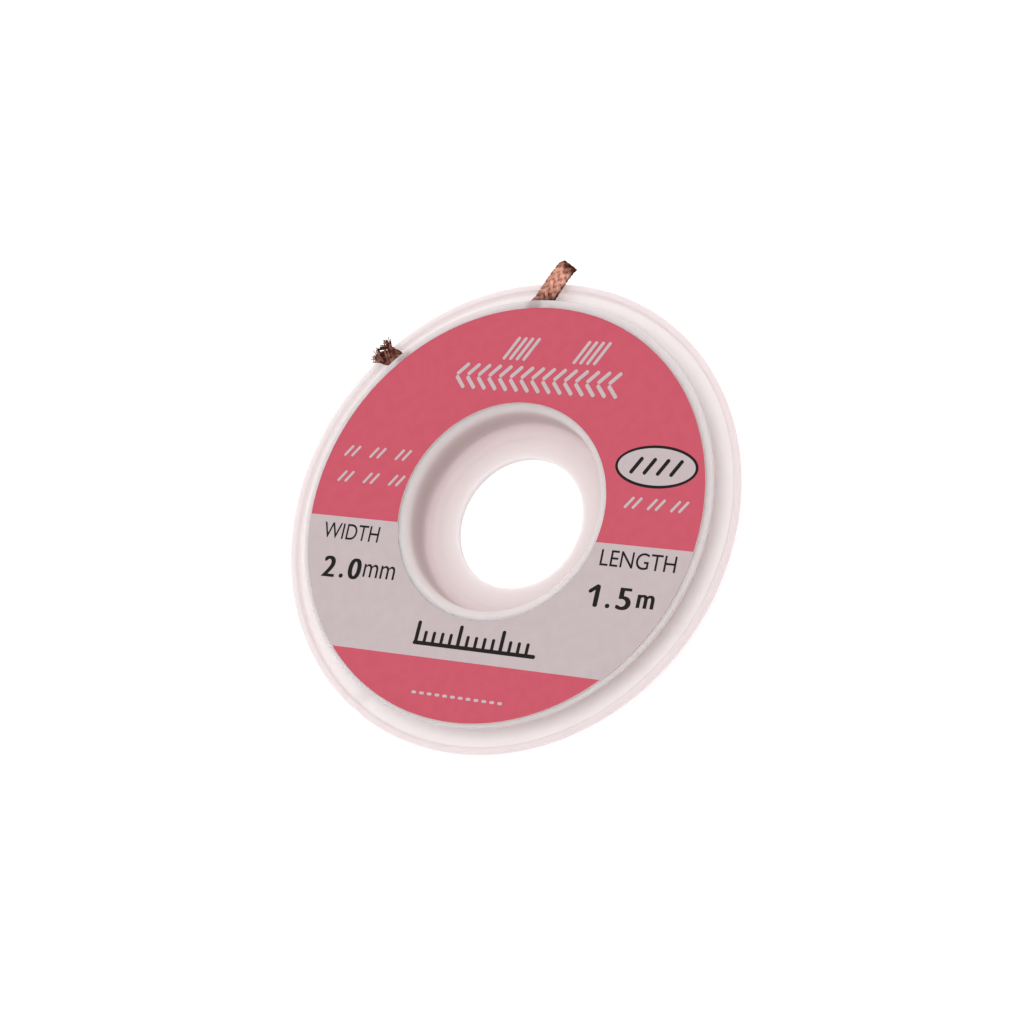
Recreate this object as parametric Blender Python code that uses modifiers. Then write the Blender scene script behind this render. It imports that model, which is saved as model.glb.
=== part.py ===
"""Small spool of flat copper desoldering braid, with a paper label on its front flange.

The spool lies on its back. The origin is on its axis, on the level that it lies on, +Z runs
along the axis towards the label, and +Y points midway between the two free ends of the braid.
Every value is in metres or degrees.
"""
import bmesh
import bpy
from math import acos, cos, pi, radians, sin, sqrt, tan
from mathutils import Vector
from mathutils.geometry import interpolate_bezier

MM = 0.001

# Braid
BRAID_WIDTH = 2.0 * MM
BRAID_THICKNESS = 0.45 * MM
BRAID_LENGTH = 1500 * MM            # the whole length, wound in a spiral
TURN_GROOVE = 0.12 * MM             # depth of the grooves between turns, on the ends of the coil

CLEARANCE = 0.3 * MM                # between pieces that touch

# Spool: hub and its recess, from the peg hole outwards
PEG_HOLE_RADIUS = 7.25 * MM
PEG_HOLE_ROUND = 0.12 * MM
FLOOR_RING = 2.25 * MM              # width of the flat ring at the bottom of the recess
FLOOR_WALL = 0.8 * MM
COVE_WIDTH = 1.35 * MM              # two soft facets between the floor and the wall
COVE_HEIGHT = 0.9 * MM
COVE_ROUND = 0.3 * MM
RECESS_DRAFT = 0.2 * MM             # how much wider the recess is at its mouth
SHOULDER_ROUND = 0.9 * MM           # rounded shoulder at the mouth
HUB_WALL = 0.95 * MM
BARREL_FILLET = 0.3 * MM

# Spool: flanges
WINDING_SLACK = 0.9 * MM            # room beside the braid, next to the hub
FRONT_FLANGE_RADIUS = 23.5 * MM
FRONT_FLANGE_WALL = 0.8 * MM
FLANGE_EDGE_ROUND = 0.25 * MM
REAR_FLANGE_REACH = 2.4 * MM        # how far the rear flange stands out past the front one
REAR_FLANGE_WALL = 0.9 * MM
DISH_CLEARANCE = 0.38 * MM          # between the wound braid's outer corner and the dished flange
DISH_KNEE_ROUND = 6.0 * MM
RIM_WALL = 0.8 * MM
RIM_LIP = 0.8 * MM                  # height of the raised rim above the dish
RIM_DROP = 0.4 * MM                 # how far its top stays below the front flange's back
RIM_DRAFT = 0.08 * MM
RIM_ROUND = 0.28 * MM
RIM_HEEL_ROUND = 1.6 * MM

# Label
LABEL_EDGE_MARGIN = 0.7 * MM        # bare plastic left outside the label
LABEL_HOLE_MARGIN = 0.05 * MM       # and between its hole and the rounded shoulder
LABEL_THICKNESS = 0.1 * MM
LABEL_OFFSET = 0.3 * MM             # it was stuck on a little off centre
LABEL_OFFSET_ANGLE = -116.0

# Where the braid's two ends leave the coil, in degrees about the axis from +X
CUT_END_COIL_ANGLE = 87.0
CUT_END_SLOT_ANGLE = 66.4           # where it comes out from under the front flange
CUT_END_HEADING = 34.0              # which way it points there, seen from above
CUT_END_FREE_LENGTH = 4.7 * MM
CUT_END_TIP_ROLL = 16.0
CUT_END_TIP_RISE = 1.1 * MM
FRAYED_END_COIL_ANGLE = 92.5
FRAYED_END_SLOT_ANGLE = 110.6
FRAYED_END_HEADING = 144.0
FRAYED_END_FREE_LENGTH = 3.3 * MM
FRAYED_END_TIP_ROLL = -10.0
FRAYED_END_TIP_RISE = 0.75 * MM
FRAYED_END_FLARE = 0.5 * MM         # how much wider the loosened tip is

# Smoothness
TURN_STEPS = 60
COIL_STEPS = 36
ARC_STEP = 45.0                     # largest turn between two points of a rounded corner
ROUTE_STEPS = 10

# Worked out from the sizes above: radii
FLOOR_RADIUS = PEG_HOLE_RADIUS + FLOOR_RING
RECESS_FOOT_RADIUS = FLOOR_RADIUS + COVE_WIDTH
RECESS_RADIUS = RECESS_FOOT_RADIUS + RECESS_DRAFT
BARREL_RADIUS = RECESS_RADIUS + HUB_WALL
COIL_INNER_RADIUS = BARREL_RADIUS + CLEARANCE
COIL_OUTER_RADIUS = sqrt(COIL_INNER_RADIUS ** 2 + BRAID_LENGTH * BRAID_THICKNESS / pi)
TURNS = round((COIL_OUTER_RADIUS - COIL_INNER_RADIUS) / BRAID_THICKNESS)
REAR_FLANGE_RADIUS = FRONT_FLANGE_RADIUS + REAR_FLANGE_REACH
DISH_FOOT_RADIUS = REAR_FLANGE_RADIUS - RIM_WALL
LABEL_OUTER_RADIUS = FRONT_FLANGE_RADIUS - LABEL_EDGE_MARGIN
LABEL_INNER_RADIUS = RECESS_RADIUS + SHOULDER_ROUND + LABEL_HOLE_MARGIN

# Worked out from the sizes above: heights
FRONT_FLANGE_BACK = REAR_FLANGE_WALL + WINDING_SLACK + BRAID_WIDTH + 2 * CLEARANCE
SPOOL_HEIGHT = FRONT_FLANGE_BACK + FRONT_FLANGE_WALL
COIL_MIDDLE = FRONT_FLANGE_BACK - CLEARANCE - BRAID_WIDTH / 2
RIM_HEIGHT = FRONT_FLANGE_BACK - RIM_DROP
DISH_FOOT_HEIGHT = RIM_HEIGHT - RIM_LIP

# The dish is a cone that passes just below the wound braid's outer corner
DISH_UNDER_COIL = COIL_MIDDLE - BRAID_WIDTH / 2 - DISH_CLEARANCE
DISH_SLOPE = (DISH_FOOT_HEIGHT - DISH_UNDER_COIL) / (DISH_FOOT_RADIUS - COIL_OUTER_RADIUS)
DISH_START_RADIUS = DISH_FOOT_RADIUS - (DISH_FOOT_HEIGHT - REAR_FLANGE_WALL) / DISH_SLOPE
DISH_DROP = REAR_FLANGE_WALL * sqrt(1 + DISH_SLOPE ** 2)
DISH_HEEL_SHIFT = (DISH_DROP - REAR_FLANGE_WALL) / DISH_SLOPE


def dish_height(radius):
    """Height of the dished part of the rear flange's inner face."""
    return REAR_FLANGE_WALL + (radius - DISH_START_RADIUS) * DISH_SLOPE


def arc_corner(before, corner, after, fillet):
    """Points of an arc of radius fillet that rounds one corner of an outline."""
    to_before = (before - corner).normalized()
    to_after = (after - corner).normalized()
    half = acos(max(-1.0, min(1.0, to_before.dot(to_after)))) / 2
    reach = fillet / tan(half)
    bisector = (to_before + to_after).normalized()
    centre = corner + bisector * (fillet / sin(half))
    start = corner + to_before * reach
    turn = pi - 2 * half
    side = 1 if to_before.cross(to_after) < 0 else -1
    steps = max(1, round(turn / radians(ARC_STEP)))
    spoke = start - centre
    points = []
    for step in range(steps + 1):
        angle = side * turn * step / steps
        points.append(centre + Vector((spoke.x * cos(angle) - spoke.y * sin(angle),
                                       spoke.x * sin(angle) + spoke.y * cos(angle))))
    return points


def rounded_outline(corners):
    """Closed outline in radius and height, from (radius, height, fillet) corners."""
    places = [Vector(corner[:2]) for corner in corners]
    outline = []
    for index, (radius, height, fillet) in enumerate(corners):
        if fillet:
            outline += arc_corner(places[index - 1], places[index],
                                  places[(index + 1) % len(places)], fillet)
        else:
            outline.append(Vector((radius, height)))
    return outline


def make_material(name, colour, roughness, metallic=0.0):
    material = bpy.data.materials.new(name)
    material.use_nodes = True
    shader = material.node_tree.nodes["Principled BSDF"]
    shader.inputs["Base Color"].default_value = (*colour, 1.0)
    shader.inputs["Roughness"].default_value = roughness
    shader.inputs["Metallic"].default_value = metallic
    return material


def make_collection(name):
    collection = bpy.data.collections.new(name)
    bpy.context.scene.collection.children.link(collection)
    return collection


def turned(name, outline, steps, collection, material):
    """One solid turned about the Z axis from a closed outline in radius and height."""
    mesh = bpy.data.meshes.new(name)
    shape = bmesh.new()
    points = [shape.verts.new((point.x, 0, point.y)) for point in outline]
    for index, point in enumerate(points):
        shape.edges.new((points[index - 1], point))
    shape.to_mesh(mesh)
    shape.free()
    mesh.materials.append(material)
    piece = bpy.data.objects.new(name, mesh)
    collection.objects.link(piece)
    screw = piece.modifiers.new("turn", "SCREW")
    screw.axis = "Z"
    screw.angle = 2 * pi
    screw.steps = steps
    screw.render_steps = steps
    screw.use_merge_vertices = True
    screw.merge_threshold = 0.00001
    screw.use_smooth_shade = True
    return piece


def make_spool(collection):
    """The moulded spool, as one turned section through both flanges and the hub."""
    material = make_material("moulded_polypropylene", (0.82, 0.77, 0.77), 0.42)
    cove_middle = (RECESS_FOOT_RADIUS + FLOOR_RADIUS) / 2
    section = [
        (RECESS_RADIUS, SPOOL_HEIGHT, SHOULDER_ROUND),
        (FRONT_FLANGE_RADIUS, SPOOL_HEIGHT, FLANGE_EDGE_ROUND),
        (FRONT_FLANGE_RADIUS, FRONT_FLANGE_BACK, FLANGE_EDGE_ROUND),
        (BARREL_RADIUS, FRONT_FLANGE_BACK, BARREL_FILLET),
        (BARREL_RADIUS, REAR_FLANGE_WALL, BARREL_FILLET),
        (DISH_START_RADIUS, REAR_FLANGE_WALL, DISH_KNEE_ROUND),
        (DISH_FOOT_RADIUS, DISH_FOOT_HEIGHT, RIM_ROUND),
        (DISH_FOOT_RADIUS + RIM_DRAFT, RIM_HEIGHT, RIM_ROUND),
        (REAR_FLANGE_RADIUS, RIM_HEIGHT, RIM_ROUND),
        (REAR_FLANGE_RADIUS, dish_height(REAR_FLANGE_RADIUS) - DISH_DROP, RIM_HEEL_ROUND),
        (DISH_START_RADIUS + DISH_HEEL_SHIFT, 0.0, DISH_KNEE_ROUND),
        (PEG_HOLE_RADIUS, 0.0, PEG_HOLE_ROUND),
        (PEG_HOLE_RADIUS, FLOOR_WALL, PEG_HOLE_ROUND),
        (FLOOR_RADIUS, FLOOR_WALL, COVE_ROUND),
        (cove_middle, FLOOR_WALL + COVE_HEIGHT / 3, COVE_ROUND),
        (RECESS_FOOT_RADIUS, FLOOR_WALL + COVE_HEIGHT, COVE_ROUND),
    ]
    return turned("spool", rounded_outline(section), TURN_STEPS, collection, material)


def make_label(collection):
    """The printed paper ring on the front flange."""
    material = make_material("printed_paper", (0.60, 0.13, 0.16), 0.55)
    base = SPOOL_HEIGHT + CLEARANCE
    outline = rounded_outline([
        (LABEL_INNER_RADIUS, base + LABEL_THICKNESS, 0),
        (LABEL_OUTER_RADIUS, base + LABEL_THICKNESS, 0),
        (LABEL_OUTER_RADIUS, base, 0),
        (LABEL_INNER_RADIUS, base, 0),
    ])
    label = turned("front_label", outline, TURN_STEPS, collection, material)
    label.location = (LABEL_OFFSET * cos(radians(LABEL_OFFSET_ANGLE)),
                      LABEL_OFFSET * sin(radians(LABEL_OFFSET_ANGLE)), 0)
    return label


def coil_outline():
    """Section of the wound braid, with a groove between turns on both of its ends."""
    pitch = (COIL_OUTER_RADIUS - COIL_INNER_RADIUS) / TURNS
    half = BRAID_WIDTH / 2
    top = []
    for turn in range(TURNS):
        start = COIL_INNER_RADIUS + turn * pitch
        top.append(Vector((start, COIL_MIDDLE + half - TURN_GROOVE)))
        top.append(Vector((start + pitch / 2, COIL_MIDDLE + half)))
    top.append(Vector((COIL_OUTER_RADIUS, COIL_MIDDLE + half - TURN_GROOVE)))
    bottom = [Vector((point.x, 2 * COIL_MIDDLE - point.y)) for point in reversed(top)]
    return top + bottom


def polar(radius, degrees, height):
    return Vector((radius * cos(radians(degrees)), radius * sin(radians(degrees)), height))


def heading(degrees):
    return Vector((cos(radians(degrees)), sin(radians(degrees)), 0))


def end_route(coil_angle, side, slot_angle, direction, free_length, tip_rise):
    """Middle line of one free end: off the coil, out of the slot and over the raised rim."""
    start_radius = COIL_OUTER_RADIUS - BRAID_THICKNESS
    slot_radius = FRONT_FLANGE_RADIUS + CLEARANCE
    slot_height = FRONT_FLANGE_BACK - CLEARANCE - BRAID_THICKNESS / 2
    rim_pass = RIM_HEIGHT + CLEARANCE + BRAID_THICKNESS / 2
    start = polar(start_radius, coil_angle, COIL_MIDDLE)
    slot = polar(slot_radius, slot_angle, slot_height)
    tip = slot + heading(direction) * free_length
    tip.z = rim_pass + tip_rise / 2
    leave = heading(coil_angle + side * 90)
    first = (slot - start).length / 3
    second = (tip - slot).length / 3
    inside = interpolate_bezier(start, start + leave * first,
                                slot - heading(direction) * first, slot, ROUTE_STEPS)
    rise = Vector((0, 0, tip_rise / 2))
    outside = interpolate_bezier(slot, slot + heading(direction) * second + rise,
                                 tip - heading(direction) * second, tip, ROUTE_STEPS)
    return list(inside) + list(outside)[1:]


def end_ribbon(name, route, tip_roll, flare, collection):
    """A strip of braid along a route. It stands on edge in the coil and lies flat at its tip."""
    mesh = bpy.data.meshes.new(name)
    shape = bmesh.new()
    rows = []
    for index, point in enumerate(route):
        ahead = route[min(index + 1, len(route) - 1)]
        behind = route[max(index - 1, 0)]
        along = (ahead - behind).normalized()
        flat = Vector((0, 0, 1)).cross(along).normalized()
        upright = along.cross(flat)
        share = min(1.0, index / (ROUTE_STEPS - 1))
        beyond = max(0.0, (index - ROUTE_STEPS + 1) / (ROUTE_STEPS - 1))
        roll = radians(90 * (1 - share * share * (3 - 2 * share)) + tip_roll * beyond)
        half = BRAID_WIDTH / 2 + flare / 2 * beyond
        across = (flat * cos(roll) + upright * sin(roll)) * half
        rows.append((shape.verts.new(point - across), shape.verts.new(point + across)))
    for (left, right), (next_left, next_right) in zip(rows, rows[1:]):
        shape.faces.new((left, right, next_right, next_left))
    shape.to_mesh(mesh)
    shape.free()
    ribbon = bpy.data.objects.new(name, mesh)
    collection.objects.link(ribbon)
    ribbon.hide_render = True
    ribbon.display_type = "WIRE"
    wall = ribbon.modifiers.new("thickness", "SOLIDIFY")
    wall.thickness = BRAID_THICKNESS
    wall.offset = 0
    return ribbon


def make_braid(collection, helpers):
    """The wound braid and its two free ends, joined into one length of stock."""
    material = make_material("copper_braid", (0.50, 0.21, 0.13), 0.38, 1.0)
    coil = turned("copper_braid", coil_outline(), COIL_STEPS, collection, material)
    ends = [
        end_ribbon("cut_end_guide",
                   end_route(CUT_END_COIL_ANGLE, -1, CUT_END_SLOT_ANGLE, CUT_END_HEADING,
                             CUT_END_FREE_LENGTH, CUT_END_TIP_RISE),
                   CUT_END_TIP_ROLL, 0.0, helpers),
        end_ribbon("frayed_end_guide",
                   end_route(FRAYED_END_COIL_ANGLE, 1, FRAYED_END_SLOT_ANGLE, FRAYED_END_HEADING,
                             FRAYED_END_FREE_LENGTH, FRAYED_END_TIP_RISE),
                   FRAYED_END_TIP_ROLL, FRAYED_END_FLARE, helpers),
    ]
    for end in ends:
        join = coil.modifiers.new("join_" + end.name, "BOOLEAN")
        join.operation = "UNION"
        join.solver = "EXACT"
        join.object = end
    return coil


def main():
    for item in list(bpy.data.objects):
        bpy.data.objects.remove(item)
    parts = make_collection("desoldering_braid_spool")
    helpers = make_collection("helpers")
    make_spool(parts)
    make_label(parts)
    make_braid(parts, helpers)


main()
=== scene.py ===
"""Looks of a small spool of flat copper desoldering braid, laid out as a Blender add-on.

Everything is in metres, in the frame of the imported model: the spool lies on its back with its axis
on Z, its label up, and the braid's two free ends towards +Y.
"""
from bisect import bisect_right
from math import atan2, ceil, cos, hypot, pi, radians, sin, sqrt, tan
from random import Random

import bmesh
import bpy
from bpy.props import FloatProperty, FloatVectorProperty, IntProperty, PointerProperty
from bpy.types import Operator, Panel, PropertyGroup
from mathutils import Matrix, Vector
from mathutils.geometry import interpolate_bezier


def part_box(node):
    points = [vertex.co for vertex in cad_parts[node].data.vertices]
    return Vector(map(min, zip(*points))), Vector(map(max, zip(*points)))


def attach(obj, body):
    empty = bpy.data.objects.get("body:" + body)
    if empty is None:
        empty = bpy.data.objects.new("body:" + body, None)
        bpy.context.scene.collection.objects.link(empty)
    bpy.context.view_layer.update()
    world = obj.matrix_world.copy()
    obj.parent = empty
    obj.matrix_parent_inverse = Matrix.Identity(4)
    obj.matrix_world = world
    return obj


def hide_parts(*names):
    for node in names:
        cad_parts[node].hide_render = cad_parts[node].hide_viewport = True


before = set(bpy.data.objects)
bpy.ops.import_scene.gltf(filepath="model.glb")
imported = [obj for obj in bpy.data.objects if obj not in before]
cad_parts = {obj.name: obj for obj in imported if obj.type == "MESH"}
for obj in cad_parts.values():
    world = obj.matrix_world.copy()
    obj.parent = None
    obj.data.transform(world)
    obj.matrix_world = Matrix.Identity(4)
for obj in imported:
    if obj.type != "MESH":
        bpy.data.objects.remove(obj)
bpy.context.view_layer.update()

bl_info = {
    "name": "Desoldering Braid Spool",
    "version": (1, 0, 0),
    "blender": (4, 5, 0),
    "location": "3D View > Sidebar > Braid Spool",
    "description": "Models a spool of flat copper desoldering braid with its label",
    "category": "Add Mesh",
}

MM = 0.001
SPOOL_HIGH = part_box("spool")[1]
LABEL_LOW, LABEL_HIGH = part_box("front_label")
BRAID_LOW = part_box("copper_braid")[0]
LABEL_CENTRE = (LABEL_LOW + LABEL_HIGH) / 2


def linear(colour):
    """Scene-linear red, green and blue from an sRGB hex value."""
    shares = [int(colour[place:place + 2], 16) / 255 for place in (0, 2, 4)]
    return tuple(share / 12.92 if share <= 0.04045 else ((share + 0.055) / 1.055) ** 2.4
                 for share in shares)


def length_value(name, description, default):
    return FloatProperty(name=name, description=description, default=default,
                         unit="LENGTH", subtype="DISTANCE", precision=5)


def colour_value(name, description, default):
    return FloatVectorProperty(name=name, description=description, default=linear(default),
                               subtype="COLOR", size=3, min=0, max=1)


class SpoolSizes(PropertyGroup):
    """Radii and heights of the moulded spool"""
    height: length_value("Height", "Back of the hub to the labelled face", SPOOL_HIGH.z)
    rear_radius: length_value("Rear flange radius", "Outer radius of the dished flange",
                              SPOOL_HIGH.x - 0.005 * MM)
    front_radius: length_value("Front flange radius", "Outer radius of the labelled flange", 23.5 * MM)
    front_wall: length_value("Front flange wall", "Thickness of the labelled flange", 0.8 * MM)
    rear_wall: length_value("Rear flange wall", "Thickness of the dished flange", 0.9 * MM)
    dish_start: length_value("Dish start", "Radius where the rear flange starts to rise", 15.83 * MM)
    rim_wall: length_value("Rim wall", "Thickness of the raised rim", 0.8 * MM)
    rim_height: length_value("Rim height", "Top of the raised rim", 4.0 * MM)
    rim_lip: length_value("Rim lip", "Height of the raised rim above the dish", 0.8 * MM)
    hole_radius: length_value("Peg hole radius", "Radius of the hole through the hub", 7.25 * MM)
    floor_radius: length_value("Floor radius", "Outside of the recess's flat floor", 9.5 * MM)
    floor_wall: length_value("Floor wall", "Thickness of the recess's floor", 0.8 * MM)
    cove_height: length_value("Cove height", "Height of the soft step above the floor", 0.9 * MM)
    recess_foot: length_value("Recess foot radius", "Radius of the recess above its soft step", 10.85 * MM)
    recess_mouth: length_value("Recess mouth radius", "Radius of the recess below its shoulder", 11.05 * MM)
    shoulder: length_value("Shoulder", "Round at the mouth of the recess", 0.9 * MM)
    barrel_radius: length_value("Barrel radius", "Radius that the braid is wound on", 12.0 * MM)
    gate_trim: length_value("Gate trim", "Depth of the flat where the front flange was trimmed", 0.13 * MM)
    flash: length_value("Flash", "Size of the burr left on the rear flange's rim", 0.65 * MM)
    steps: IntProperty(name="Steps", description="Steps in one full turn", default=240, min=24)


class LabelSizes(PropertyGroup):
    """Sizes of the paper label and of what is printed on it"""
    outer_radius: length_value("Outer radius", "Outside of the paper ring",
                               (LABEL_HIGH.x - LABEL_LOW.x) / 2)
    inner_radius: length_value("Inner radius", "Hole of the paper ring", 12.0 * MM)
    thickness: length_value("Thickness", "Thickness of the paper", 0.1 * MM)
    upper_line: length_value("Upper line", "Where the red field meets the grey band", -2.35 * MM)
    lower_line: length_value("Lower line", "Where the grey band meets the lower red field", -16.45 * MM)
    ink: length_value("Ink", "How far the print stands out of the paper", 0.008 * MM)
    turn: FloatProperty(name="Turn", description="Direction in which the print reads, from +X",
                        default=radians(-27.3), unit="ROTATION", subtype="ANGLE")


class BraidSizes(PropertyGroup):
    """Sizes of the copper braid"""
    width: length_value("Width", "Width of the flat braid", 2.0 * MM)
    thickness: length_value("Thickness", "Thickness of the flat braid", 0.45 * MM)
    wire: length_value("Wire", "Diameter of one copper wire", 0.1 * MM)
    lay: length_value("Lay", "Length in which a bundle runs once round the braid", 7.6 * MM)
    bundles: IntProperty(name="Bundles", description="Bundles that run each way", default=8, min=4)
    wires: IntProperty(name="Wires", description="Wires side by side in a bundle", default=5, min=2)


class FinishColours(PropertyGroup):
    """Colours of the finishes"""
    plastic: colour_value("Plastic", "Milky moulded plastic", "EFE4E4")
    # Painted shade for the hub's recess, not a colour of the plastic itself
    hub_painted_shade: colour_value("Thin plastic", "Milky plastic where its wall is thin", "E0CFCF")
    # Painted shade along the front flange's edge and on the rim's top and outside
    edge_painted_shade: colour_value("Edge plastic", "Milky plastic along the flanges' edges", "D3C5C6")
    # Painted light in the dish beside the front flange, lifting the shadow under its edge
    dish_painted_light: colour_value("Lit plastic", "Milky plastic that light reaches from behind", "F9EBEB")
    red: colour_value("Red print", "Red fields of the label", "BE4A5C")
    # Also used as painted shade on the rim's and the front flange's outer corners
    grey: colour_value("Grey print", "Pale grey band and print of the label", "BAABAD")
    black: colour_value("Black print", "Black figures on the label", "150F10")
    paper: colour_value("Paper", "Bare paper at the cut edge of the label", "E9DCCB")
    copper: colour_value("Copper", "Bright crowns of the copper wire", "EDB29E")
    # Also used as painted shade: between the wound bundles and the wires, on the hub's wall and over the
    # ends' slots
    tarnish_and_shade: colour_value("Tarnish", "Darkened copper between the wires and at cut tips", "582A20")
    floor: colour_value("Floor", "Pale studio floor", "F6F5F5")


# Blender tools, as used by hand

def deselect_everything():
    if bpy.context.mode != "OBJECT":
        bpy.ops.object.mode_set(mode="OBJECT")
    bpy.ops.object.select_all(action="DESELECT")


def pick(piece):
    """Makes a piece the active one and the only one that is selected."""
    deselect_everything()
    bpy.context.view_layer.objects.active = piece
    piece.select_set(True)


def edit(piece):
    pick(piece)
    bpy.ops.object.mode_set(mode="EDIT")
    bpy.ops.mesh.select_all(action="DESELECT")


def select_points(piece, wanted):
    """Selects, in edit mode, the points whose place passes the test."""
    bpy.ops.mesh.select_all(action="DESELECT")
    bpy.ops.mesh.select_mode(type="VERT")
    shape = bmesh.from_edit_mesh(piece.data)
    for point in shape.verts:
        point.select = wanted(point.co)
    shape.select_flush_mode()
    bmesh.update_edit_mesh(piece.data)


def apply_modifier(piece, kind, **settings):
    pick(piece)
    bpy.ops.object.modifier_add(type=kind)
    modifier = piece.modifiers[-1]
    for name, value in settings.items():
        setattr(modifier, name, value)
    bpy.ops.object.modifier_apply(modifier=modifier.name)


def apply_place(piece):
    pick(piece)
    bpy.ops.object.transform_apply(location=True, rotation=True, scale=True)


def face_outwards():
    """Points all faces outwards, in edit mode, and leaves it."""
    bpy.ops.mesh.select_all(action="SELECT")
    bpy.ops.mesh.normals_make_consistent(inside=False)
    bpy.ops.object.mode_set(mode="OBJECT")


def mend(piece, threshold):
    """Merges a piece's double points and points its faces outwards."""
    edit(piece)
    bpy.ops.mesh.select_all(action="SELECT")
    bpy.ops.mesh.remove_doubles(threshold=threshold)
    face_outwards()


def mesh_of_curve(curve, threshold):
    """A mended piece made from a curve that has a thickness."""
    piece = bpy.data.objects.new(curve.name, curve)
    bpy.context.scene.collection.objects.link(piece)
    pick(piece)
    bpy.ops.object.convert(target="MESH")
    piece = bpy.context.object
    mend(piece, threshold)
    return piece


def join_pieces(name, pieces):
    deselect_everything()
    for piece in pieces:
        piece.select_set(True)
    bpy.context.view_layer.objects.active = pieces[0]
    if len(pieces) > 1:
        bpy.ops.object.join()
    joined = bpy.context.view_layer.objects.active
    joined.name = name
    return joined


def finish_piece(piece, material, slot, *nodes):
    """Gives a piece its finish, seats it on the root body and lets it stand for its CAD nodes."""
    if material is not None:
        piece.data.materials.clear()
        piece.data.materials.append(material)
    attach(piece, "root")
    if nodes:
        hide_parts(*nodes)


# Finishes

def set_inputs(material, node, inputs):
    """Gives a node's inputs their values, or links the sockets that are given for them."""
    for name, value in inputs.items():
        if isinstance(value, bpy.types.NodeSocket):
            material.node_tree.links.new(value, node.inputs[name])
        else:
            node.inputs[name].default_value = value


def add_node(material, kind, settings=None, inputs=None):
    """Adds a node. Settings are its own properties, and inputs hold values or sockets to link."""
    node = material.node_tree.nodes.new(kind)
    for name, value in (settings or {}).items():
        setattr(node, name, value)
    set_inputs(material, node, inputs or {})
    return node


def start_material(name):
    material = bpy.data.materials.new(name)
    material.use_nodes = True
    return material, material.node_tree.nodes["Principled BSDF"]


def noise(material, place, size, detail):
    """Noise from 0 to 1 whose grain is about this many metres wide."""
    return add_node(material, "ShaderNodeTexNoise", None,
                    {"Vector": place, "Scale": 1 / size, "Detail": detail}).outputs["Fac"]


def remap(material, value, low, high, start=0.0, stop=1.0):
    """Stretches a value's run from start to stop over low to high."""
    return add_node(material, "ShaderNodeMapRange", None,
                    {"Value": value, "From Min": start, "From Max": stop,
                     "To Min": low, "To Max": high}).outputs["Result"]


def blend(material, share, first, second):
    """Mixes two colours by a share of the second. The first can also be a socket."""
    if not isinstance(first, bpy.types.NodeSocket):
        first = (*first, 1)
    return add_node(material, "ShaderNodeMix", {"data_type": "RGBA"},
                    {0: share, 6: first, 7: (*second, 1)}).outputs[2]


def bumps(material, height, strength, depth):
    """Normals of a surface whose bumps are this many metres deep."""
    return add_node(material, "ShaderNodeBump", None,
                    {"Height": height, "Strength": strength, "Distance": depth}).outputs["Normal"]


def shade_through(material, place, centre, reach):
    """How strongly a shade shows at a place: 1 near its centre, and 0 beyond its reach."""
    away = add_node(material, "ShaderNodeVectorMath", {"operation": "DISTANCE"},
                    {0: place, 1: centre}).outputs["Value"]
    return add_node(material, "ShaderNodeMapRange", {"interpolation_type": "SMOOTHSTEP"},
                    {"Value": away, "From Min": 0.3 * reach, "From Max": reach,
                     "To Min": 1.0, "To Max": 0.0}).outputs["Result"]


def turned_place(material, place):
    """A place on the spool's section: X holds its radius and Y its height."""
    parts = add_node(material, "ShaderNodeSeparateXYZ", None, {"Vector": place}).outputs
    flat = add_node(material, "ShaderNodeCombineXYZ", None, {"X": parts["X"], "Y": parts["Y"]})
    radius = add_node(material, "ShaderNodeVectorMath", {"operation": "LENGTH"},
                      {0: flat.outputs["Vector"]}).outputs["Value"]
    section = add_node(material, "ShaderNodeCombineXYZ", None, {"X": radius, "Y": parts["Z"]})
    return section.outputs["Vector"]


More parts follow.
